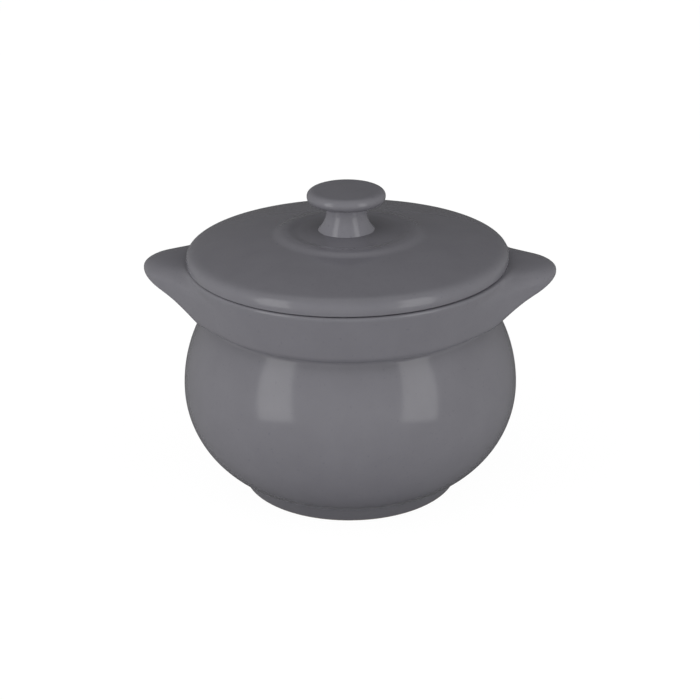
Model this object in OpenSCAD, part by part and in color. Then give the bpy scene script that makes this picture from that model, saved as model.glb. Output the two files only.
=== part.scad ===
// Lidded single-serving onion soup crock in glazed ceramic: a round belly on a foot ring,
// an upright collar with two lugs, and a domed lid with a mushroom knob.
// Millimetres. The origin is on the table under the belly's axis, +Z is up, the lugs lie along X.

/* [Belly] */
// Widest outer diameter of the belly
belly_d = 110; // [104:1:120]
// Radius of the belly's outline below its widest line
belly_low_r = 33; // [30:0.5:36]
// Radius of the belly's outline above its widest line
belly_up_r = 45.5; // [43:0.5:50]
// Height of the belly's underside above the table
belly_lift = 1; // [0.5:0.25:2]
// Height of the neck's top above the belly's widest line
neck_h = 27.4; // [24:0.2:30]
// Thickness of the bowl's wall and floor
wall = 4.5; // [3.5:0.25:5.5]

/* [Foot] */
// Outer diameter of the foot ring
foot_d = 71; // [64:1:76]
// Width of the foot ring's standing face, with its rounded edges
foot_w = 5; // [4:0.5:7]
// Rounding of the foot ring's lower edges
foot_edge_r = 0.8; // [0.4:0.1:1.2]

/* [Collar] */
// How far the collar's top edge stands out from the neck
collar_over = 7.2; // [6:0.2:9]
// Height of the collar
collar_h = 16.2; // [14:0.2:20]
// How much the collar's radius shrinks from top to bottom
collar_taper = 1.2; // [0:0.1:2]
// Rounding of the collar's lower edge
collar_low_r = 3; // [1.5:0.25:4]
// Width of the rim at the collar's top
rim_w = 5.5; // [4.5:0.25:6.5]
// Rounding of the rim's two edges
rim_edge_r = 1.6; // [1:0.1:2]
// Thickness of the ledge that joins the collar to the neck
ledge_t = 4.5; // [3.5:0.5:6]
// Rounding of the ledge's two inside corners
ledge_r = 1.5; // [0.5:0.25:2.5]

/* [Lugs] */
// How far a lug stands out from the collar's top edge
lug_reach = 13.9; // [10:0.1:18]
// Radius of a lug's round outline, seen from above
lug_plan_r = 15; // [13:0.5:18]
// How far a lug's top lies below the rim
lug_drop = 1.5; // [0.5:0.25:3]
// Radius of a lug's round nose, half its thickness there
lug_nose_r = 2.7; // [2:0.1:3.5]
// Radius of a lug's lowest edge, round its own upright axis
lug_root_r = 4; // [3:0.5:6]
// Height of a lug's lowest edge above the collar's underside
lug_root_h = 0.6; // [0.4:0.1:2]

/* [Lid] */
// How far the lid's edge stays inside the collar's
lid_inset = 0.7; // [0:0.1:1.5]
// Radius of the lid's domed top
dome_r = 190; // [160:5:260]
// Thickness of the domed middle of the lid
lid_t = 4.8; // [3.5:0.1:5.2]
// Rounding of the lid's upper edge
lid_edge_r = 2.2; // [1.4:0.1:3]
// Height above the rim where the lid's edge starts to round over
lid_side_h = 0.8; // [0.7:0.1:2.5]
// Rounding of the lid's lower edge, which leaves a fine groove above the rim
lid_foot_r = 0.5; // [0.2:0.1:0.6]
// Diameter of the raised bead round the knob, at its crest
bead_d = 45.6; // [38:0.2:60]
// Height of the bead's crest above the dome
bead_h = 0.7; // [0.4:0.1:1.2]
// Radius of the bead's round section
bead_r = 1.6; // [1.3:0.1:2.5]

/* [Locating ring] */
// Side clearance between the locating ring and the collar's mouth
ring_play = 1.2; // [0.8:0.1:2]
// Width of the locating ring
ring_w = 4; // [3:0.25:5]
// Depth of the locating ring below the rim
ring_h = 6; // [4:0.25:8]
// Rounding of the locating ring's lower edges
ring_edge_r = 1; // [0.5:0.1:1.4]

/* [Knob] */
// Diameter of the knob's cap
knob_d = 25.3; // [22:0.1:32]
// Radius of the cap's round rim, half its thickness there
knob_rim_r = 1.6; // [1.3:0.1:2.5]
// Height of the cap's crown above its rim
knob_crown = 0.7; // [0.3:0.1:1.5]
// Height of the stem above the top of the dome
stem_h = 9.4; // [8:0.2:12]
// Diameter of the stem under the cap
stem_d = 12.8; // [11:0.2:15]
// Diameter of the stem where it flares out on the lid
stem_base_d = 18.4; // [16.4:0.2:22]

/* [Hidden] */
$fn = 180;
// Extra length of a cut, so that it runs past the face it opens
over = 1;
glaze = "#717076";
bare_clay = "#8b867f";

// Belly: two arcs that meet upright at the widest line
belly_r = belly_d / 2;
eq_z = belly_lift + belly_low_r;
low_c = belly_r - belly_low_r;
up_c = belly_r - belly_up_r;
neck_z = eq_z + neck_h;
neck_r = up_c + sqrt(pow(belly_up_r, 2) - pow(neck_h, 2));
throat_r = up_c + sqrt(pow(belly_up_r - wall, 2) - pow(neck_h, 2));

// Foot: it ends where its outer face meets the belly
foot_r = foot_d / 2;
foot_z = eq_z - sqrt(pow(belly_low_r, 2) - pow(foot_r - low_c, 2));

// Collar: the centres of its two outer edge rounds, and the slope of the face between them
collar_r = neck_r + collar_over;
rim_z = neck_z + collar_h;
mouth_r = collar_r - rim_w;
ledge_z = neck_z + ledge_t;
rim_c = [collar_r - rim_edge_r, rim_z - rim_edge_r];
hem_c = [collar_r - collar_taper - collar_low_r, neck_z + collar_low_r];
face_run = rim_c - hem_c;
face_a = asin((collar_low_r - rim_edge_r) / norm(face_run)) - atan2(face_run.x, face_run.y);
face_n = [cos(face_a), sin(face_a)];
face_low = hem_c + collar_low_r * face_n;
face_top = rim_c + rim_edge_r * face_n;
face_lean = (face_top.x - face_low.x) / (face_top.y - face_low.y);

// Lugs: the nose round's centre, and the slope of the underside that leaves it
lug_x = collar_r + lug_reach - lug_plan_r;
lug_z = rim_z - lug_drop;
nose_c = [lug_plan_r - lug_nose_r, lug_z - lug_nose_r];
root_p = [lug_root_r, neck_z + lug_root_h];
under_run = root_p - nose_c;
under_a = atan2(under_run.y, under_run.x) + acos(lug_nose_r / norm(under_run));
under_n = [cos(under_a), sin(under_a)];

// Lid: the edge round touches the dome from inside
lid_r = collar_r - lid_inset;
edge_c = [lid_r - lid_edge_r, rim_z + lid_side_h];
dome_cz = edge_c.y - sqrt(pow(dome_r - lid_edge_r, 2) - pow(edge_c.x, 2));
dome_top = dome_cz + dome_r;
edge_touch_r = edge_c.x * dome_r / (dome_r - lid_edge_r);
bead_z = dome_z(bead_d / 2) + bead_h - bead_r;
ring_out_r = mouth_r - ring_play;
ring_in_r = ring_out_r - ring_w;

// Knob: the stem's flare is an arc that stands upright under the cap
cap_z = dome_top + stem_h;
cap_flat_r = knob_d / 2 - knob_rim_r;
crown_r = (pow(cap_flat_r, 2) + pow(knob_crown, 2)) / (2 * knob_crown);
stem_r = stem_d / 2;
stem_base_r = stem_base_d / 2;
stem_base_z = dome_z(stem_base_r);
flare_out = stem_base_r - stem_r;
flare_r = (pow(cap_z - stem_base_z, 2) + pow(flare_out, 2)) / (2 * flare_out);

function dome_z(r) = dome_cz + sqrt(pow(dome_r, 2) - pow(r, 2));

// The corner that a rounding of radius r takes off, for a corner at the origin that points to +X, -Y
module corner_waste(r) {
    difference() {
        translate([-r, -over]) square([r + over, r + over]);
        translate([-r, r]) circle(r);
    }
}

// Half section of a ring with rounded lower edges, from radius r1 to r2 and height z1 to z2
module ring_area(r1, r2, z1, z2, edge_r) {
    difference() {
        translate([r1, z1]) square([r2 - r1, z2 - z1]);
        translate([r2, z1]) corner_waste(edge_r);
        translate([r1, z1]) mirror([1, 0]) corner_waste(edge_r);
    }
}

// Half section of all that lies inside the belly's outline, drawn in by inset, up to the height top_z
module belly_area(inset, top_z) {
    low_r = belly_low_r - inset;
    intersection() {
        union() {
            translate([low_c, eq_z]) circle(low_r);
            translate([0, eq_z - low_r]) square([low_c, low_r]);
        }
        translate([0, eq_z - belly_low_r]) square([belly_r, belly_low_r]);
    }
    intersection() {
        translate([up_c, eq_z]) circle(belly_up_r - inset);
        translate([0, eq_z]) square([belly_r, top_z - eq_z]);
    }
}

// Half section of all that lies inside the collar's outer face
module collar_area() {
    polygon([
        [0, neck_z], [hem_c.x, neck_z], face_low, face_top, [rim_c.x, rim_z], [0, rim_z]
    ]);
    translate(hem_c) circle(collar_low_r);
    translate(rim_c) circle(rim_edge_r);
}

// Half section of all that lies inside the collar's sloping face, with the face run on past its edge rounds
module face_area() {
    low_z = neck_z - over;
    top_z = rim_z + over;
    polygon([
        [0, low_z], [face_low.x + face_lean * (low_z - face_low.y), low_z],
        [face_top.x + face_lean * (top_z - face_top.y), top_z], [0, top_z]
    ]);
}

// Half section of the space inside the collar: the throat, and the wider mouth above the ledge
module mouth_area() {
    translate([0, neck_z - over]) square([throat_r, ledge_t + 2 * over]);
    difference() {
        translate([0, ledge_z]) square([mouth_r, rim_z + over - ledge_z]);
        translate([mouth_r, ledge_z]) corner_waste(ledge_r);
    }
    translate([throat_r, ledge_z]) rotate(180) corner_waste(ledge_r);
    translate([mouth_r, rim_z]) rotate(180) corner_waste(rim_edge_r);
}

// Half section of all that lies under the lid's dome, out to radius r
module dome_area(r) {
    intersection() {
        translate([0, dome_cz]) circle(dome_r);
        translate([0, rim_z]) square([r, dome_top - rim_z]);
    }
}

module lug() {
    difference() {
        translate([lug_x, 0, 0]) rotate_extrude() {
            polygon([
                [0, root_p.y], root_p, nose_c + lug_nose_r * under_n,
                nose_c, [nose_c.x, lug_z], [0, lug_z]
            ]);
            translate(nose_c) circle(lug_nose_r);
        }
        rotate_extrude() face_area();
    }
}

module bowl() {
    color(glaze) rotate_extrude() difference() {
        belly_area(0, neck_z);
        belly_area(wall, neck_z + over);
    }
}

module foot_ring() {
    color(bare_clay) rotate_extrude() difference() {
        ring_area(foot_r - foot_w, foot_r, 0, foot_z, foot_edge_r);
        belly_area(0, neck_z);
    }
}

module rim_collar() {
    color(glaze) rotate_extrude() difference() {
        collar_area();
        mouth_area();
    }
}

module left_lug() {
    color(glaze) mirror([1, 0, 0]) lug();
}

module right_lug() {
    color(glaze) lug();
}

module lid_plate() {
    color(glaze) rotate_extrude() {
        difference() {
            union() {
                dome_area(edge_touch_r);
                intersection() {
                    union() {
                        translate(edge_c) circle(lid_edge_r);
                        translate([edge_c.x, rim_z]) square([lid_edge_r, lid_side_h]);
                    }
                    translate([0, rim_z]) square([lid_r, dome_top - rim_z]);
                }
            }
            translate([lid_r, rim_z]) corner_waste(lid_foot_r);
            intersection() {
                translate([0, dome_cz]) circle(dome_r - lid_t);
                translate([0, rim_z - over]) square([ring_in_r, dome_top - rim_z]);
            }
        }
        translate([bead_d / 2, bead_z]) circle(bead_r);
    }
}

module lid_locating_ring() {
    color(glaze) rotate_extrude()
        ring_area(ring_in_r, ring_out_r, rim_z - ring_h, rim_z, ring_edge_r);
}

module lid_knob() {
    color(glaze) rotate_extrude() difference() {
        union() {
            difference() {
                translate([0, stem_base_z]) square([stem_base_r, cap_z + knob_rim_r - stem_base_z]);
                translate([stem_r + flare_r, cap_z]) circle(flare_r);
            }
            translate([0, cap_z]) square([cap_flat_r, 2 * knob_rim_r]);
            translate([cap_flat_r, cap_z + knob_rim_r]) circle(knob_rim_r);
            intersection() {
                translate([0, cap_z + 2 * knob_rim_r + knob_crown - crown_r]) circle(crown_r);
                translate([0, cap_z + knob_rim_r]) square([cap_flat_r, 2 * knob_rim_r + knob_crown]);
            }
        }
        dome_area(lid_r);
    }
}

bowl();
foot_ring();
rim_collar();
left_lug();
right_lug();
lid_plate();
lid_locating_ring();
lid_knob();
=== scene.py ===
import bpy
import bmesh
import math
import numpy as np
from mathutils import Euler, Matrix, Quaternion, Vector


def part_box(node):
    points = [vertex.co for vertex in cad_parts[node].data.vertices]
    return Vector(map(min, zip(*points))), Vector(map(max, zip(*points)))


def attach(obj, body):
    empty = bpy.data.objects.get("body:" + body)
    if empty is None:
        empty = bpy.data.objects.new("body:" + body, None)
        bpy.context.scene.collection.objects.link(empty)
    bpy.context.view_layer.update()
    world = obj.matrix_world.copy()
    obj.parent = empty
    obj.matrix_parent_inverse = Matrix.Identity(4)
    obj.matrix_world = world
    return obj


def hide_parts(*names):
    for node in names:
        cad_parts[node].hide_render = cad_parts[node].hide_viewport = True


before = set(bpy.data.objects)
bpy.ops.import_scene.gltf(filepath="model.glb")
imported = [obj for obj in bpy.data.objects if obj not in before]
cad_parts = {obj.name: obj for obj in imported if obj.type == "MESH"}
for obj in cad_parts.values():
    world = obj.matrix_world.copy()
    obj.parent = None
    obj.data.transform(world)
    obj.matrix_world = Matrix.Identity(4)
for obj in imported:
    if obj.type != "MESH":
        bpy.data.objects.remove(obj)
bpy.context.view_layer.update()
mm = 0.001
sink = 0.05  # how far a piece runs into its neighbour, mm
bury = 0.2  # the same where the seam is out of sight, mm
weld = 1e-4  # points nearer than this are one, mm
mixA = 6  # colour sockets of a Mix node, by number
mixB = 7
mixOut = 2


def boxMm(node):
    low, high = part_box(node)
    return low / mm, high / mm


def linear(hexText):
    # sRGB hex to the linear values that shaders work in
    parts = [int(hexText[i:i + 2], 16) / 255 for i in (1, 3, 5)]
    return tuple(p / 12.92 if p <= 0.04045 else ((p + 0.055) / 1.055) ** 2.4 for p in parts) + (1.0,)


def addNode(tree, kind, settings=None, links=None):
    # one node, its properties and inputs set by name or number, its inputs linked the same way
    node = tree.nodes.new(kind)
    for name, value in (settings or {}).items():
        if name == "stops":
            ramp = node.color_ramp
            while len(ramp.elements) < len(value):
                ramp.elements.new(1.0)
            for stop, (place, colour) in zip(ramp.elements, value):
                stop.position = place
                stop.color = colour
        elif isinstance(name, str) and hasattr(node, name):
            setattr(node, name, value)
        else:
            node.inputs[name].default_value = value
    for name, source in (links or {}).items():
        tree.links.new(source, node.inputs[name])
    return node


# Glazed stoneware: dipped, single-fired, a satin-gloss iron-grey glaze over a pale body.
# The eye gets soft-edged mirror images, a cloudy grey a shade cooler than neutral, fine dark
# specks and a faint ripple in the shine.
glaze = {
    "body": "#6b6a70",
    "cloud": "#6f6e74",  # where the glaze lies thinner
    "footShadeBody": "#5c5b61",  # darker round the foot: painted shade under the belly's overhang
    "footShadeCloud": "#605f65",
    "stemLightBody": "#76757c",  # lighter on the knob's stem: painted light in the shade under the cap
    "stemLightCloud": "#7a7980",
    "speck": "#5c5b62",  # iron specks
    "cloudSize": 14.0,  # mm across
    "cloudSpan": (0.3, 0.7),  # noise levels from all body to all cloud
    "speckSize": 0.9,  # mm, drawn about three times too coarse so that it shows
    "speckSpan": (0.66, 0.78),  # noise levels from no speck to a full one
    "speckMost": 0.55,  # how much of the glaze's tone a full speck takes over
    "rippleSize": 3.0,  # mm from crest to crest
    "rippleDepth": 0.006,  # mm
    "roughness": (0.12, 0.16),  # of body and cloud
    "ior": 1.5,
}

# Bare stoneware: the wiped standing face, fired without glaze. Dry, sandy and pale.
clay = {
    "body": "#b3aca1",
    "grit": "#8f887d",
    "gritSize": 0.8,  # mm
    "gritSpan": (0.35, 0.6),  # noise levels from all grit to all body
    "gritDepth": 0.02,  # mm
    "roughness": 0.85,
}


def startMaterial(name):
    material = bpy.data.materials.new(name)
    material.use_nodes = True
    tree = material.node_tree
    tree.nodes.clear()
    return material, tree


def glazedStoneware(name, body, cloudy):
    material, tree = startMaterial(name)
    place = addNode(tree, "ShaderNodeTexCoord").outputs["Object"]
    allBody, allCloud = glaze["cloudSpan"]
    cloud = addNode(tree, "ShaderNodeTexNoise",
                    {"Scale": 1 / (glaze["cloudSize"] * mm), "Detail": 4.0, "Roughness": 0.6},
                    {"Vector": place})
    tone = addNode(tree, "ShaderNodeValToRGB",
                   {"stops": [(allBody, linear(body)), (allCloud, linear(cloudy))]},
                   {"Fac": cloud.outputs["Fac"]})
    noSpeck, fullSpeck = glaze["speckSpan"]
    speck = addNode(tree, "ShaderNodeTexNoise",
                    {"Scale": 1 / (glaze["speckSize"] * mm), "Detail": 2.0}, {"Vector": place})
    speckShare = addNode(tree, "ShaderNodeMapRange",
                         {"From Min": noSpeck, "From Max": fullSpeck, "To Min": 0.0,
                          "To Max": glaze["speckMost"]},
                         {"Value": speck.outputs["Fac"]})
    colour = addNode(tree, "ShaderNodeMix", {"data_type": "RGBA", mixB: linear(glaze["speck"])},
                     {"Factor": speckShare.outputs["Result"], mixA: tone.outputs["Color"]})
    bodyDull, cloudDull = glaze["roughness"]
    dull = addNode(tree, "ShaderNodeMapRange",
                   {"From Min": allBody, "From Max": allCloud, "To Min": bodyDull, "To Max": cloudDull},
                   {"Value": cloud.outputs["Fac"]})
    ripple = addNode(tree, "ShaderNodeTexNoise",
                     {"Scale": 1 / (glaze["rippleSize"] * mm), "Detail": 1.5}, {"Vector": place})
    bump = addNode(tree, "ShaderNodeBump", {"Strength": 1.0, "Distance": glaze["rippleDepth"] * mm},
                   {"Height": ripple.outputs["Fac"]})
    shader = addNode(tree, "ShaderNodeBsdfPrincipled", {"IOR": glaze["ior"]},
                     {"Base Color": colour.outputs[mixOut], "Roughness": dull.outputs["Result"],
                      "Normal": bump.outputs["Normal"]})
    addNode(tree, "ShaderNodeOutputMaterial", links={"Surface": shader.outputs["BSDF"]})
    return material


def bareStoneware():
    material, tree = startMaterial("bareStoneware")
    place = addNode(tree, "ShaderNodeTexCoord").outputs["Object"]
    allGrit, allBody = clay["gritSpan"]
    grit = addNode(tree, "ShaderNodeTexNoise",
                   {"Scale": 1 / (clay["gritSize"] * mm), "Detail": 3.0}, {"Vector": place})
    colour = addNode(tree, "ShaderNodeValToRGB",
                     {"stops": [(allGrit, linear(clay["grit"])), (allBody, linear(clay["body"]))]},
                     {"Fac": grit.outputs["Fac"]})
    bump = addNode(tree, "ShaderNodeBump", {"Strength": 1.0, "Distance": clay["gritDepth"] * mm},
                   {"Height": grit.outputs["Fac"]})
    shader = addNode(tree, "ShaderNodeBsdfPrincipled", {"Roughness": clay["roughness"]},
                     {"Base Color": colour.outputs["Color"], "Normal": bump.outputs["Normal"]})
    addNode(tree, "ShaderNodeOutputMaterial", links={"Surface": shader.outputs["BSDF"]})
    return material


glazeMaterial = glazedStoneware("glazedStoneware", glaze["body"], glaze["cloud"])
# the stem's glaze, lighter than the rest: painted light
stemLightMaterial = glazedStoneware("stemLightGlaze", glaze["stemLightBody"], glaze["stemLightCloud"])
# the foot's glaze, darker than the rest: painted shade
footShadeMaterial = glazedStoneware("footShadeGlaze", glaze["footShadeBody"], glaze["footShadeCloud"])
clayMaterial = bareStoneware()
print("materials: glaze and bare clay ready")


def arc(centre, radius, start, end, steps):
    # points of a round stretch of a half section, angles in degrees from the outward radius
    turn = np.radians(np.linspace(start, end, steps + 1))
    return [(centre[0] + radius * math.cos(a), centre[1] + radius * math.sin(a)) for a in turn]


def bend(p0, p1, p2, p3, steps):
    # points of one cubic curve from p0 to p3, pulled towards p1 and p2
    t = np.linspace(0, 1, steps + 1)[:, None]
    ends = (1 - t) ** 3 * np.array(p0) + t ** 3 * np.array(p3)
    pulls = 3 * t * (1 - t) ** 2 * np.array(p1) + 3 * t ** 2 * (1 - t) * np.array(p2)
    return [tuple(p) for p in ends + pulls]


def run(start, end, steps):
    # points of a straight stretch
    return [tuple(p) for p in np.linspace(start, end, steps + 1)]


def section(*stretches):
    # joins stretches end to end, without doubled points
    points = []
    for stretch in stretches:
        for p in stretch:
            if not points or math.dist(p, points[-1]) > weld:
                points.append(p)
    return np.array(points)


def turned(points, angles, axisX=0.0):
    # rows of points, one row for each point of the half section
    r = points[:, 0][:, None]
    z = points[:, 1][:, None] + 0 * angles
    return np.stack([axisX + r * np.cos(angles), r * np.sin(angles), z], axis=-1)


def ease(share):
    # from 0 to 1, level at both ends
    t = np.clip(share, 0, 1)
    return t * t * (3 - 2 * t)


def smooth(share):
    # the same without a step in the bend, which a mirror would show
    t = np.clip(share, 0, 1)
    return t ** 3 * (t * (6 * t - 15) + 10)


def skin(name, rows, isRing):
    # one closed mesh over rows of points in mm: a ring closes on itself, else its end rows are poles
    mesh = bpy.data.meshes.new(name)
    built = bmesh.new()
    lanes = []
    for i, row in enumerate(rows):
        if not isRing and i in (0, len(rows) - 1):
            lanes.append([built.verts.new(row.mean(axis=0) * mm)])
        else:
            lanes.append([built.verts.new(p * mm) for p in row])
    count = rows.shape[1]
    pairs = list(zip(lanes, lanes[1:])) + ([(lanes[-1], lanes[0])] if isRing else [])
    for a, b in pairs:
        for i in range(count):
            j = (i + 1) % count
            if len(a) == 1:
                built.faces.new((a[0], b[i], b[j]))
            elif len(b) == 1:
                built.faces.new((a[i], b[0], a[j]))
            else:
                built.faces.new((a[i], b[i], b[j], a[j]))
    bmesh.ops.recalc_face_normals(built, faces=built.faces)
    for face in built.faces:
        face.smooth = True
    built.to_mesh(mesh)
    built.free()
    piece = bpy.data.objects.new(name, mesh)
    bpy.context.scene.collection.objects.link(piece)
    return piece


def fire(piece, body, slot, nodes, *materials):
    # gives a piece its finish, its body and the nodes that it stands for
    for material in materials:
        piece.data.materials.append(material)
    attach(piece, body)
    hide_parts(*nodes)
    print("piece:", piece.name, len(piece.data.vertices), "points")


def finishBelow(piece, height):
    # puts a piece's second finish on the faces below a height in mm
    for face in piece.data.polygons:
        if face.center.z < height * mm:
            face.material_index = 1


turnSteps = 288
fineSteps = 720  # where the eye grazes the surface
fullTurn = np.radians(np.linspace(0, 360, turnSteps, endpoint=False))
fineTurn = np.radians(np.linspace(0, 360, fineSteps, endpoint=False))

# Bowl: two arcs outside, the same two less the wall inside, and a soft crease under the collar
bowl = {
    "lowR": 33.0,  # outline below the widest line
    "upR": 45.5,  # outline above it
    "wall": 4.5,
    "crease": 1.4,  # rounding of the crease under the collar
}
bowlLow, bowlHigh = boxMm("bowl")
bellyR = bowlHigh.x
neckZ = bowlHigh.z
equator = bowlLow.z + bowl["lowR"]
lowC = (bellyR - bowl["lowR"], equator)
upC = (bellyR - bowl["upR"], equator)
innerLowR = bowl["lowR"] - bowl["wall"]
innerUpR = bowl["upR"] - bowl["wall"]
creaseZ = neckZ - bowl["crease"]
creaseX = upC[0] + math.sqrt((bowl["upR"] + bowl["crease"]) ** 2 - (creaseZ - equator) ** 2)
creaseA = math.degrees(math.atan2(creaseZ - equator, creaseX - upC[0]))
throatTurn = math.asin((neckZ - equator) / innerUpR)
throatA = math.degrees(throatTurn)
throat = (upC[0] + innerUpR * math.cos(throatTurn), neckZ)

bowlSection = section(
    run((0, bowlLow.z), (lowC[0], bowlLow.z), steps=12),
    arc(lowC, bowl["lowR"], -90, 0, steps=60),
    arc(upC, bowl["upR"], 0, creaseA, steps=36),
    arc((creaseX, creaseZ), bowl["crease"], creaseA + 180, 90, steps=16),
    run((creaseX, neckZ + sink), (throat[0] + sink, neckZ + sink), steps=2),
    arc(upC, innerUpR, throatA, 0, steps=36),
    arc(lowC, innerLowR, 0, -90, steps=50),
    run((lowC[0], equator - innerLowR), (0, equator - innerLowR), steps=12),
)
bowlShell = skin("bowlShell", turned(bowlSection, fullTurn), isRing=False)
fire(bowlShell, "crock", "glaze", ["bowl"], glazeMaterial)

# Foot ring: glazed sides, a wiped standing face, and a trace of a fillet against the belly
foot = {
    "proud": 0.2,  # how far the fired ring stands out past the solid's
    "wide": 5.2,  # from its outer face to its inner one
    "edge": 0.5,  # rounding of the lower edges
    "fillet": 0.15,  # outside, where the glaze gathers against the belly
    "wiped": 0.35,  # height that the sponge took the glaze off to
    "shift": -0.2,  # the ring was turned a little off the belly's middle
}
footR = boxMm("foot_ring")[1].x + foot["proud"]
footIn = footR - foot["wide"]


def bellyUnder(r):
    # height of the belly's underside at a radius
    return equator - math.sqrt(bowl["lowR"] ** 2 - max(r - lowC[0], 0) ** 2)


filletX = footR + foot["fillet"]
filletZ = equator - math.sqrt((bowl["lowR"] + foot["fillet"]) ** 2 - (filletX - lowC[0]) ** 2)
filletA = math.degrees(math.atan2(equator - filletZ, filletX - lowC[0]))
footSection = section(
    run((footIn + foot["edge"], 0), (footR - foot["edge"], 0), steps=8),
    arc((footR - foot["edge"], foot["edge"]), foot["edge"], -90, 0, steps=10),
    run((footR, foot["edge"]), (footR, filletZ), steps=4),
    arc((filletX, filletZ), foot["fillet"], 180, 180 - filletA, steps=10),
    run((filletX - sink, bellyUnder(filletX - sink) + bury),
        (footIn, bellyUnder(footIn) + sink), steps=8),
    arc((footIn + foot["edge"], foot["edge"]), foot["edge"], 180, 270, steps=10),
)
footRing = skin("footRing", turned(footSection, fullTurn, foot["shift"]), isRing=True)
# its glazed sides take the darker glaze, which is painted shade under the belly
fire(footRing, "crock", "foot", ["foot_ring"], footShadeMaterial, clayMaterial)
finishBelow(footRing, foot["wiped"])

# Collar and lugs: pulled from one band of clay, so the lugs flare out of it with no seam
collar = {
    "taper": 2.2,  # radius lost from the top to the bottom
    "hem": 2.4,  # rounding of the lower edge
    "rimWidth": 5.5,
    "rimEdge": 0.9,  # rounding of the rim's edges
    "ledge": 4.5,  # thickness of the ledge over the neck
    "ledgeRound": 1.5,  # hollow where the ledge meets the mouth
    "core": 3.0,  # depth behind the face of the point that the mesh fans out from
    "rays": 160,  # of that fan
    "rimStop": 95.0,  # degrees round the rim's inner edge where the fan takes over
    "halvings": 40,  # of each ray, to find the surface
}
lug = {
    "tipR": 13.5,  # round tip seen from above
    "sideAngle": 33.0,  # degrees by which each side turns away from the lug's axis
    "tipIn": 0.15,  # how far the fired tip draws back from the solid's
    "forward": 1.2,  # how far the lug's axis lies in front of the crock's
    "crestUp": 0.2,  # crest above the rim, before the rim's rounding takes it down
    "domeWide": 11.0,  # the top rounds off over this width
    "domeBack": 3.0,  # and this height at the back
    "domeFront": 4.6,  # and at the front
    "rootX": 44.0,  # where it ends inside the collar's wall
    "underUp": 5.4,  # underside above the collar's, at the collar's face
    "underSlope": 0.47,  # rise of the underside per mm outwards
    "underEdge": 0.9,  # rounding of its edge
    "flareBack": 1.0,  # width over which lug and collar melt together at the back of the rim
    "flareTop": 4.0,  # at the front of the rim
    "flareMid": 8.0,  # below it
    "flareRun": 6.0,  # height over which the one turns into the other
    "flareLow": 2.0,  # under the lug
    "flareEnd": 4.0,  # depth below the underside where it has come down to that
    "near": 26.0,  # degrees either side of a lug that get the finer mesh
    "nearStep": 0.5,  # degrees
    "farSteps": 90,  # from one lug's fine mesh to the other's
}
collarHigh = boxMm("rim_collar")[1]
collarR = collarHigh.x
rimZ = collarHigh.z
mouthR = collarR - collar["rimWidth"]
ledgeZ = neckZ + collar["ledge"]
tipX = boxMm("right_lug")[1].x - lug["tipIn"] - lug["tipR"]
lugZ = rimZ + lug["crestUp"]
underZ = neckZ + lug["underUp"]


def roundMax(a, b, radius):
    # what lies in both shapes, with a rounded edge between them
    corner = np.hypot(np.maximum(a + radius, 0), np.maximum(b + radius, 0))
    return np.minimum(np.maximum(a, b) + radius, 0) + corner - radius


def softMin(a, b, width):
    # both shapes together, with a hollow flare between them
    share = np.maximum(width - np.abs(a - b), 0) / width
    return np.minimum(a, b) - share ** 2 * width / 4


def lugUnder(side, x, z):
    # distance below the lug's underside, which rises outwards from the top of the collar's hem
    rise = underZ + lug["underSlope"] * (side * x - collarR)
    return (np.maximum(rise, neckZ + collar["hem"]) - z) / math.hypot(1, lug["underSlope"])


def lugField(side, x, y, z):
    # upright sides that meet in a round tip, under a domed top and over a rising underside
    turn = math.radians(lug["sideAngle"])
    away = side * x - tipX
    sideways = y + lug["forward"]
    across = np.abs(sideways)
    onSide = across * math.sin(turn) > away * math.cos(turn)
    flank = away * math.sin(turn) + across * math.cos(turn)
    wall = np.where(onSide, flank, np.hypot(away, sideways)) - lug["tipR"]
    frontShare = ease(-sideways / lug["tipR"])
    domeHigh = lug["domeBack"] + (lug["domeFront"] - lug["domeBack"]) * frontShare
    wide = np.maximum(wall / lug["domeWide"] + 1, 0)
    high = np.maximum((z - lugZ) / domeHigh + 1, 0)
    dome = (np.hypot(wide, high) - 1) * lug["domeWide"]
    ear = roundMax(dome, lugUnder(side, x, z), lug["underEdge"])
    return np.maximum(ear, lug["rootX"] - side * x)


def collarField(x, y, z):
    # distance outside the collar and lugs, negative inside
    faceRun = (collar["taper"], rimZ - collar["rimEdge"] - neckZ - collar["hem"])
    lean = math.hypot(*faceRun)
    outward = np.hypot(x, y) - collarR
    face = (outward * faceRun[1] - (z - rimZ + collar["rimEdge"]) * faceRun[0]) / lean
    solid = roundMax(face, neckZ - z, collar["hem"])
    top = lug["flareBack"] + (lug["flareTop"] - lug["flareBack"]) * ease(-y / lug["tipR"])
    flare = top + (lug["flareMid"] - top) * ease((rimZ - z) / lug["flareRun"])
    for side in (-1, 1):
        lowShare = ease(lugUnder(side, x, z) / lug["flareEnd"])
        width = flare + (lug["flareLow"] - flare) * lowShare
        solid = softMin(solid, lugField(side, x, y, z), width)
    return roundMax(solid, z - rimZ, collar["rimEdge"])


near = np.arange(-lug["near"], lug["near"], lug["nearStep"])
far = np.linspace(lug["near"], 180 - lug["near"], lug["farSteps"], endpoint=False)
halfTurn = np.concatenate([near, far])
lugTurn = np.radians(np.concatenate([halfTurn, halfTurn + 180]))

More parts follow.
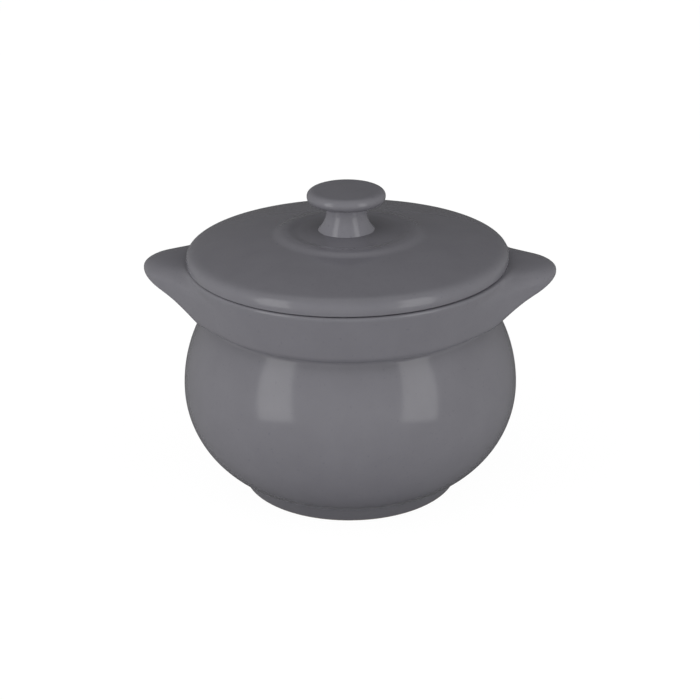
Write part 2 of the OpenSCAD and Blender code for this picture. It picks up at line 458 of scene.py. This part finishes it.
# rays fan out from inside the collar's wall and stop where the field changes sign
core = (collarR - collar["core"], (rimZ + neckZ) / 2)
fanTop = math.atan2(rimZ - core[1], mouthR + collar["rimEdge"] - core[0])
fanLow = math.atan2(neckZ - core[1], creaseX - core[0])
fan = np.linspace(fanTop, fanLow, collar["rays"])[:, None]
inside = np.zeros((len(fan), len(lugTurn)))
outside = inside + 2 * lug["tipR"] + collar["rimWidth"]  # past every lug
for halving in range(collar["halvings"]):
    middle = (inside + outside) / 2
    r = core[0] + middle * np.cos(fan)
    z = core[1] + middle * np.sin(fan)
    free = collarField(r * np.cos(lugTurn), r * np.sin(lugTurn), z) > 0
    outside = np.where(free, middle, outside)
    inside = np.where(free, inside, middle)
outerRows = np.stack([r * np.cos(lugTurn), r * np.sin(lugTurn), z], axis=-1)

lipR = collar["ledge"] / (1 + math.sin(throatTurn))  # one round nose over the throat
lipC = (throat[0] + lipR * math.cos(throatTurn), neckZ + lipR * math.sin(throatTurn))
hollowC = (mouthR - collar["ledgeRound"], ledgeZ + collar["ledgeRound"])
rimC = (mouthR + collar["rimEdge"], rimZ - collar["rimEdge"])
innerSection = section(
    run((creaseX - sink, neckZ), throat, steps=6),
    arc(lipC, lipR, throatA + 180, 90, steps=20),
    run((lipC[0], ledgeZ), (hollowC[0], ledgeZ), steps=4),
    arc(hollowC, collar["ledgeRound"], -90, 0, steps=10),
    run((mouthR, hollowC[1]), (mouthR, rimC[1]), steps=8),
    arc(rimC, collar["rimEdge"], 180, collar["rimStop"], steps=12),
)
innerRows = turned(innerSection, lugTurn)
collarAndLugs = skin("collarAndLugs", np.concatenate([outerRows, innerRows]), isRing=True)
fire(collarAndLugs, "crock", "glaze", ["rim_collar", "left_lug", "right_lug"], glazeMaterial)

# Lid: a shallow dome with a low rolled edge and a soft bead round the knob, hollow inside its ring
lid = {
    "shift": -0.5,  # the lid sits a little to the left in its seat
    "forward": 0.2,  # and a little to the front
    "lean": 1.0,  # how much higher the front of the top is than its middle
    "leanTurn": 12.0,  # degrees to the right of the front where it is highest
    "edgeIn": 0.2,  # how far the fired edge draws back from the solid's
    "domeR": 222.0,
    "crownUp": 9.7,  # top of the dome above the rim
    "thick": 4.8,
    "rollStart": 48.0,  # radius where the dome turns into the rolled edge
    "rollPull": 2.8,  # how far the roll carries on along the dome
    "sideUp": 0.9,  # height of the roll's upright point above the rim
    "sidePull": 2.2,  # how far the roll carries on upright
    "under": 0.3,  # rounding of the lower edge
    "gap": 0.2,  # how far the front of the edge stands off the rim
    "beadShift": 0.15,  # middle of the bead, to the right
    "beadR": 20.7,  # radius of its crest
    "beadUp": 0.62,
    "beadBack": 0.45,  # share of that left at the back
    "beadIn": 4.3,  # width of its inner side
    "beadOut": 5.2,  # width over which its outer side fades
    "beadSpare": 1.0,  # how far past both the close mesh rings go
    "meshRings": (30, 160, 50),  # inside, over and outside the bead
}
ring = {
    "wide": 4.0,  # wall of the locating ring under the lid
    "edge": 1.0,  # rounding of its lower edges
    "fillet": 1.2,  # against the lid
}
lidR = boxMm("lid_plate")[1].x - lid["edgeIn"]
domeC = rimZ + lid["crownUp"] - lid["domeR"]
ringLow, ringHigh = boxMm("lid_locating_ring")
ringOut = ringHigh.x
ringIn = ringOut - ring["wide"]


def domeZ(r):
    # height of the dome at a radius
    return domeC + np.sqrt(lid["domeR"] ** 2 - r ** 2)


def beadHeight(x, y):
    # height of the bead over the dome, lower towards the back
    away = np.hypot(x - lid["beadShift"], y) - lid["beadR"]
    inner = smooth(1 + away / lid["beadIn"])
    outer = 1 - smooth(away / lid["beadOut"])
    share = 1 - (1 - lid["beadBack"]) * smooth(y / lid["beadR"])
    return lid["beadUp"] * share * np.where(away < 0, inner, outer)


beadFrom = lid["beadR"] - lid["beadIn"] - lid["beadSpare"]
beadTo = lid["beadR"] + lid["beadOut"] + lid["beadSpare"]
innerRings, beadRings, outerRings = lid["meshRings"]
topR = np.concatenate([np.linspace(0, beadFrom, innerRings, endpoint=False),
                       np.linspace(beadFrom, beadTo, beadRings, endpoint=False),
                       np.linspace(beadTo, lid["rollStart"], outerRings)])
rollA = math.asin(lid["rollStart"] / lid["domeR"])
rollFrom = (lid["rollStart"], domeZ(lid["rollStart"]))
rollTo = (lidR, rimZ + lid["sideUp"])
rollPull = (rollFrom[0] + lid["rollPull"] * math.cos(rollA),
            rollFrom[1] - lid["rollPull"] * math.sin(rollA))
sidePull = (rollTo[0], rollTo[1] + lid["sidePull"])
underR = lid["domeR"] - lid["thick"]
underFrom = math.degrees(math.acos(ringIn / underR))
underPoints = arc((0, domeC), underR, underFrom, 90, steps=60)
lidSection = section(
    [(r, domeZ(r)) for r in topR],
    bend(rollFrom, rollPull, sidePull, rollTo, steps=24),
    arc((lidR - lid["under"], rimZ + lid["under"]), lid["under"], 0, -90, steps=8),
    run((lidR - lid["under"], rimZ), (ringIn, rimZ), steps=10),
    underPoints,
)
lidRows = turned(lidSection, fineTurn, lid["shift"])
lidRows[..., 1] -= lid["forward"]
crown = lidRows[:len(topR)]
crown[..., 2] += beadHeight(crown[..., 0], crown[..., 1])
leanTurn = math.radians(lid["leanTurn"])
towardsFront = (lidRows[..., 0] * math.sin(leanTurn) - lidRows[..., 1] * math.cos(leanTurn)) / lidR
topShare = ease((lidRows[..., 2] - rimZ) / (rollFrom[1] - rimZ))
topShare[-len(underPoints):] = 0
lidRows[..., 2] += lid["lean"] * towardsFront * topShare
edgeShare = ease((np.hypot(lidRows[..., 0], lidRows[..., 1]) - ringOut) / (lidR - ringOut))
lidRows[..., 2] += lid["gap"] * np.maximum(towardsFront, 0) * edgeShare * (1 - topShare)
lidPlate = skin("lidPlate", lidRows, isRing=False)
fire(lidPlate, "lid", "glaze", ["lid_plate"], glazeMaterial)

# Locating ring: drops into the mouth and keeps the lid from sliding off
ringSection = section(
    run((ringIn + ring["edge"], ringLow.z), (ringOut - ring["edge"], ringLow.z), steps=3),
    arc((ringOut - ring["edge"], ringLow.z + ring["edge"]), ring["edge"], -90, 0, steps=8),
    arc((ringOut + ring["fillet"], rimZ - ring["fillet"]), ring["fillet"], 180, 90, steps=8),
    run((ringOut + ring["fillet"], rimZ + sink), (ringIn - ring["fillet"], rimZ + bury), steps=3),
    arc((ringIn - ring["fillet"], rimZ - ring["fillet"]), ring["fillet"], 90, 0, steps=8),
    arc((ringIn + ring["edge"], ringLow.z + ring["edge"]), ring["edge"], 180, 270, steps=8),
)
lidLocatingRing = skin("lidLocatingRing", turned(ringSection, fullTurn, lid["shift"]), isRing=True)
fire(lidLocatingRing, "lid", "glaze", ["lid_locating_ring"], glazeMaterial)

# Knob: a mushroom cap with a full round edge on a stem that flares out on to the lid
knob = {
    "shift": -0.25,  # the knob was set a little off the lid's middle
    "edgeWide": 3.3,  # half width of the cap's round edge
    "edgeHigh": 2.15,  # half height of it
    "square": 0.86,  # 1 is an ellipse, less is squarer
    "edgeUp": 20.7,  # middle of the edge above the rim
    "edgeSteps": 32,
    "crownUp": 0.2,  # crown above the edge's top
    "crownPull": (3.0, 0.1),  # how far in and up the crown carries on from the edge
    "stemR": 6.4,  # stem under the cap
    "stemPull": 5.0,  # how far under the cap it carries on upright
    "baseR": 9.2,  # stem on the lid
    "basePull": (0.6, 2.6),  # how far outside the stem and above the lid it turns outwards
    "neckRound": 1.2,  # hollow where stem and cap meet
}
knobX = lid["shift"] + knob["shift"]
capR = boxMm("lid_knob")[1].x
edgeC = (capR - knob["edgeWide"], rimZ + knob["edgeUp"])
capTop = edgeC[1] + knob["edgeHigh"]
capLow = edgeC[1] - knob["edgeHigh"]
crownZ = capTop + knob["crownUp"]
crownPull = (edgeC[0] - knob["crownPull"][0], capTop + knob["crownPull"][1])
edgeTurn = np.radians(np.linspace(90, -90, knob["edgeSteps"] + 1))
edgePoints = [(edgeC[0] + knob["edgeWide"] * math.cos(a) ** knob["square"],
               edgeC[1] + knob["edgeHigh"] * math.copysign(abs(math.sin(a)) ** knob["square"], a))
              for a in edgeTurn]
neckC = (knob["stemR"] + knob["neckRound"], capLow - knob["neckRound"])
baseZ = float(domeZ(knob["baseR"]))
basePull = (knob["stemR"] + knob["basePull"][0], baseZ + knob["basePull"][1])
knobSection = section(
    bend((0, crownZ), (edgeC[0] / 2, crownZ), crownPull, (edgeC[0], capTop), steps=20),
    edgePoints,
    run(edgePoints[-1], (neckC[0], capLow), steps=4),
    arc(neckC, knob["neckRound"], 90, 180, steps=8),
    bend((knob["stemR"], neckC[1]), (knob["stemR"], capLow - knob["stemPull"]),
         basePull, (knob["baseR"], baseZ - sink), steps=28),
    run((knob["baseR"], baseZ - bury), (0, baseZ - bury), steps=6),
)
lidKnob = skin("lidKnob", turned(knobSection, fullTurn, knobX), isRing=False)
fire(lidKnob, "lid", "glaze", ["lid_knob"], glazeMaterial, stemLightMaterial)
# the stem under the cap takes the lighter glaze, which is painted light
finishBelow(lidKnob, capLow)

# Studio: soft fill, strongest level with the crock and overhead and mostly from the front, and
# what the glaze mirrors: a bright front and sides that fall off to a dark back, and a bright ceiling
studio = {
    "fill": {0: 1.65, 8: 1.35, 15: 0.68, 25: 0.47, 40: 0.5, 60: 0.8, 90: 1.1},  # by degrees up
    "fillRound": {0: 1.1, 30: 1.1, 60: 1.12, 90: 1.04, 120: 0.62, 150: 0.25,
                  180: 0.12},  # times this, by degrees from the front
    "fillLean": 0.11,  # how much more of it comes from the left
    "mirror": {0: 0.85, 60: 0.85, 90: 0.8, 120: 0.54, 140: 0.36, 160: 0.18,
               180: 0.1},  # by degrees from the front
    "mirrorLow": {-90: 0.1, -60: 0.35, -25: 0.75, 0: 1.0},  # share of it left, by degrees up
    "ceiling": {25: 0.0, 45: 0.1, 52: 0.4, 60: 0.9, 66: 1.0},  # share of it, by degrees up
    "ceilingWhite": 0.7,
    "floorSize": 3.0,  # m
    "floorWhite": 0.97,  # white that the camera sees whatever the light
    "floorShade": 0.06,  # share of the floor's white that a shadow can take away
    "floorPaper": "#f6f6f6",  # paper that throws the fill back up
}


def grey(level):
    return (level, level, level, 1.0)


def fromFront(angle):
    # place on a ramp that runs from the front to the back
    return (1 - math.cos(angle)) / 2


def fromBelow(angle):
    # place on a ramp that runs from straight down to straight up
    return (1 + math.sin(angle)) / 2


def stopsFor(levels, placeOf, most=1.0):
    # a ramp's stops from levels by degrees, as shares of the most
    return [(placeOf(math.radians(angle)), grey(level / most)) for angle, level in levels.items()]


def fillLight(tree, axes, depth):
    # what lights the glaze's own colour
    upMost = max(studio["fill"].values())
    roundMost = max(studio["fillRound"].values())
    most = upMost * roundMost
    upLevel = addNode(tree, "ShaderNodeValToRGB",
                      {"stops": stopsFor(studio["fill"], math.sin, upMost)},
                      {"Fac": axes.outputs["Z"]})
    roundLevel = addNode(tree, "ShaderNodeValToRGB",
                         {"stops": stopsFor(studio["fillRound"], fromFront, roundMost)},
                         {"Fac": depth.outputs["Result"]})
    fill = addNode(tree, "ShaderNodeMix",
                   {"data_type": "RGBA", "blend_type": "MULTIPLY", "Factor": 1.0},
                   {mixA: upLevel.outputs["Color"], mixB: roundLevel.outputs["Color"]})
    lean = addNode(tree, "ShaderNodeMapRange",
                   {"From Min": -1.0, "From Max": 1.0, "To Min": most * (1 + studio["fillLean"]),
                    "To Max": most * (1 - studio["fillLean"])},
                   {"Value": axes.outputs["X"]})
    return addNode(tree, "ShaderNodeBackground",
                   links={"Color": fill.outputs[mixOut], "Strength": lean.outputs["Result"]})


def mirrorLight(tree, axes, depth):
    # what the glaze mirrors
    sides = addNode(tree, "ShaderNodeValToRGB", {"stops": stopsFor(studio["mirror"], fromFront)},
                    {"Fac": depth.outputs["Result"]})
    tilt = addNode(tree, "ShaderNodeMapRange", {"From Min": -1.0, "From Max": 1.0},
                   {"Value": axes.outputs["Z"]})
    lowShare = addNode(tree, "ShaderNodeValToRGB",
                       {"stops": stopsFor(studio["mirrorLow"], fromBelow)},
                       {"Fac": tilt.outputs["Result"]})
    walls = addNode(tree, "ShaderNodeMix",
                    {"data_type": "RGBA", "blend_type": "MULTIPLY", "Factor": 1.0},
                    {mixA: sides.outputs["Color"], mixB: lowShare.outputs["Color"]})
    ceilingShare = addNode(tree, "ShaderNodeValToRGB",
                           {"stops": stopsFor(studio["ceiling"], math.sin)},
                           {"Fac": axes.outputs["Z"]})
    mirror = addNode(tree, "ShaderNodeMix", {"data_type": "RGBA", mixB: grey(studio["ceilingWhite"])},
                     {"Factor": ceilingShare.outputs["Color"], mixA: walls.outputs[mixOut]})
    return addNode(tree, "ShaderNodeBackground", links={"Color": mirror.outputs[mixOut]})


def makeWorld():
    world = bpy.data.worlds.new("studio")
    bpy.context.scene.world = world
    world.use_nodes = True
    world.cycles.sampling_method = "NONE"  # so that each kind of ray gets its own surroundings
    tree = world.node_tree
    tree.nodes.clear()
    way = addNode(tree, "ShaderNodeTexCoord")
    axes = addNode(tree, "ShaderNodeSeparateXYZ", links={"Vector": way.outputs["Generated"]})
    flat = addNode(tree, "ShaderNodeVectorMath", {"operation": "MULTIPLY", 1: (1.0, 1.0, 0.0)},
                   {0: way.outputs["Generated"]})
    heading = addNode(tree, "ShaderNodeVectorMath", {"operation": "NORMALIZE"}, {0: flat.outputs[0]})
    plan = addNode(tree, "ShaderNodeSeparateXYZ", links={"Vector": heading.outputs[0]})
    depth = addNode(tree, "ShaderNodeMapRange", {"From Min": -1.0, "From Max": 1.0},
                    {"Value": plan.outputs["Y"]})
    fill = fillLight(tree, axes, depth)
    mirror = mirrorLight(tree, axes, depth)
    white = addNode(tree, "ShaderNodeBackground", {"Color": grey(1.0), "Strength": 1.0})
    ray = addNode(tree, "ShaderNodeLightPath")
    lit = addNode(tree, "ShaderNodeMixShader",
                  links={"Fac": ray.outputs["Is Glossy Ray"], 1: fill.outputs[0], 2: mirror.outputs[0]})
    shown = addNode(tree, "ShaderNodeMath", {"operation": "MAXIMUM"},
                    {0: ray.outputs["Is Camera Ray"], 1: ray.outputs["Is Transmission Ray"]})
    mixed = addNode(tree, "ShaderNodeMixShader",
                    links={"Fac": shown.outputs[0], 1: lit.outputs[0], 2: white.outputs[0]})
    addNode(tree, "ShaderNodeOutputWorld", links={"Surface": mixed.outputs[0]})


def makeFloor():
    # white to the camera with a faint shadow, pale paper in the light that it throws back up
    half = studio["floorSize"] / 2
    mesh = bpy.data.meshes.new("floor")
    mesh.from_pydata([(-half, -half, 0), (half, -half, 0), (half, half, 0), (-half, half, 0)],
                     [], [(0, 1, 2, 3)])
    floor = bpy.data.objects.new("floor", mesh)
    floor.location.z = -sink * mm
    bpy.context.scene.collection.objects.link(floor)
    material, tree = startMaterial("paperSweep")
    white = addNode(tree, "ShaderNodeEmission",
                    {"Color": grey(1.0), "Strength": studio["floorWhite"]})
    shade = addNode(tree, "ShaderNodeBsdfDiffuse", {"Color": grey(studio["floorShade"])})
    seen = addNode(tree, "ShaderNodeAddShader", links={0: white.outputs[0], 1: shade.outputs[0]})
    paper = addNode(tree, "ShaderNodeBsdfDiffuse", {"Color": linear(studio["floorPaper"])})
    ray = addNode(tree, "ShaderNodeLightPath")
    shown = addNode(tree, "ShaderNodeMath", {"operation": "MAXIMUM"},
                    {0: ray.outputs["Is Camera Ray"], 1: ray.outputs["Is Transmission Ray"]})
    mixed = addNode(tree, "ShaderNodeMixShader",
                    links={"Fac": shown.outputs[0], 1: paper.outputs[0], 2: seen.outputs[0]})
    clear = addNode(tree, "ShaderNodeBsdfTransparent")
    side = addNode(tree, "ShaderNodeNewGeometry")
    oneSided = addNode(tree, "ShaderNodeMixShader",
                       links={"Fac": side.outputs["Backfacing"], 1: mixed.outputs[0],
                              2: clear.outputs[0]})  # so that views from below see the foot
    addNode(tree, "ShaderNodeOutputMaterial", links={"Surface": oneSided.outputs[0]})
    mesh.materials.append(material)
    floor.visible_glossy = False  # the glaze mirrors the studio's own lower half instead


# Camera: in front, a little to the right, looking down on the lid
view = {
    "azimuth": 3.5,  # degrees to the right of the front
    "elevation": 23.36,  # degrees up
    "roll": -0.55,  # degrees
    "distance": 0.6,  # m from the point that it looks at
    "aimUp": 0.0447,  # m, height of that point on the crock's axis
    "lens": 93.25,  # mm
    "sensor": 36.0,  # mm
}
aim = Vector((0, 0, view["aimUp"]))


def around(azimuth, elevation, distance):
    # a place round the aim point: azimuth 0 is in front, positive to the right
    a = math.radians(azimuth)
    e = math.radians(elevation)
    return aim + distance * Vector((math.sin(a) * math.cos(e), -math.cos(a) * math.cos(e), math.sin(e)))


def makeCamera():
    camera = bpy.data.cameras.new("camera")
    camera.lens = view["lens"]
    camera.sensor_width = view["sensor"]
    stand = bpy.data.objects.new("camera", camera)
    stand.location = around(view["azimuth"], view["elevation"], view["distance"])
    level = (aim - stand.location).to_track_quat("-Z", "Y")
    stand.rotation_euler = (level @ Quaternion((0, 0, 1), math.radians(view["roll"]))).to_euler()
    bpy.context.scene.collection.objects.link(stand)
    bpy.context.scene.camera = stand


# Two tall softboxes, one each side of the camera, upright and leaning apart at the top
softboxes = {
    "leftSoftbox": {"azimuth": -54.0, "roll": 11.0, "watts": 2.25},
    "rightSoftbox": {"azimuth": 56.0, "roll": -10.0, "watts": 2.04},
}
softbox = {
    "distance": 0.8,  # m from the object's axis
    "up": 0.635,  # m, middle of the box
    "wide": 0.355,  # m
    "tall": 1.38,  # m
}


def makeSoftbox(name, values):
    lamp = bpy.data.lights.new(name, "AREA")
    lamp.shape = "RECTANGLE"
    lamp.size = softbox["wide"]
    lamp.size_y = softbox["tall"]
    lamp.energy = values["watts"]
    stand = bpy.data.objects.new(name, lamp)
    stand.location = around(values["azimuth"], 0, softbox["distance"])
    stand.location.z = softbox["up"]
    level = Euler((math.radians(90), 0, math.radians(values["azimuth"]))).to_quaternion()
    lean = Quaternion((0, 0, 1), math.radians(values["roll"]))
    stand.rotation_euler = (level @ lean).to_euler()
    stand.visible_camera = False
    bpy.context.scene.collection.objects.link(stand)


makeWorld()
makeFloor()
for name, values in softboxes.items():
    makeSoftbox(name, values)
makeCamera()
bpy.context.scene.view_settings.view_transform = "Standard"
print("studio: world, floor, softboxes and camera ready")

bpy.context.view_layer.update()
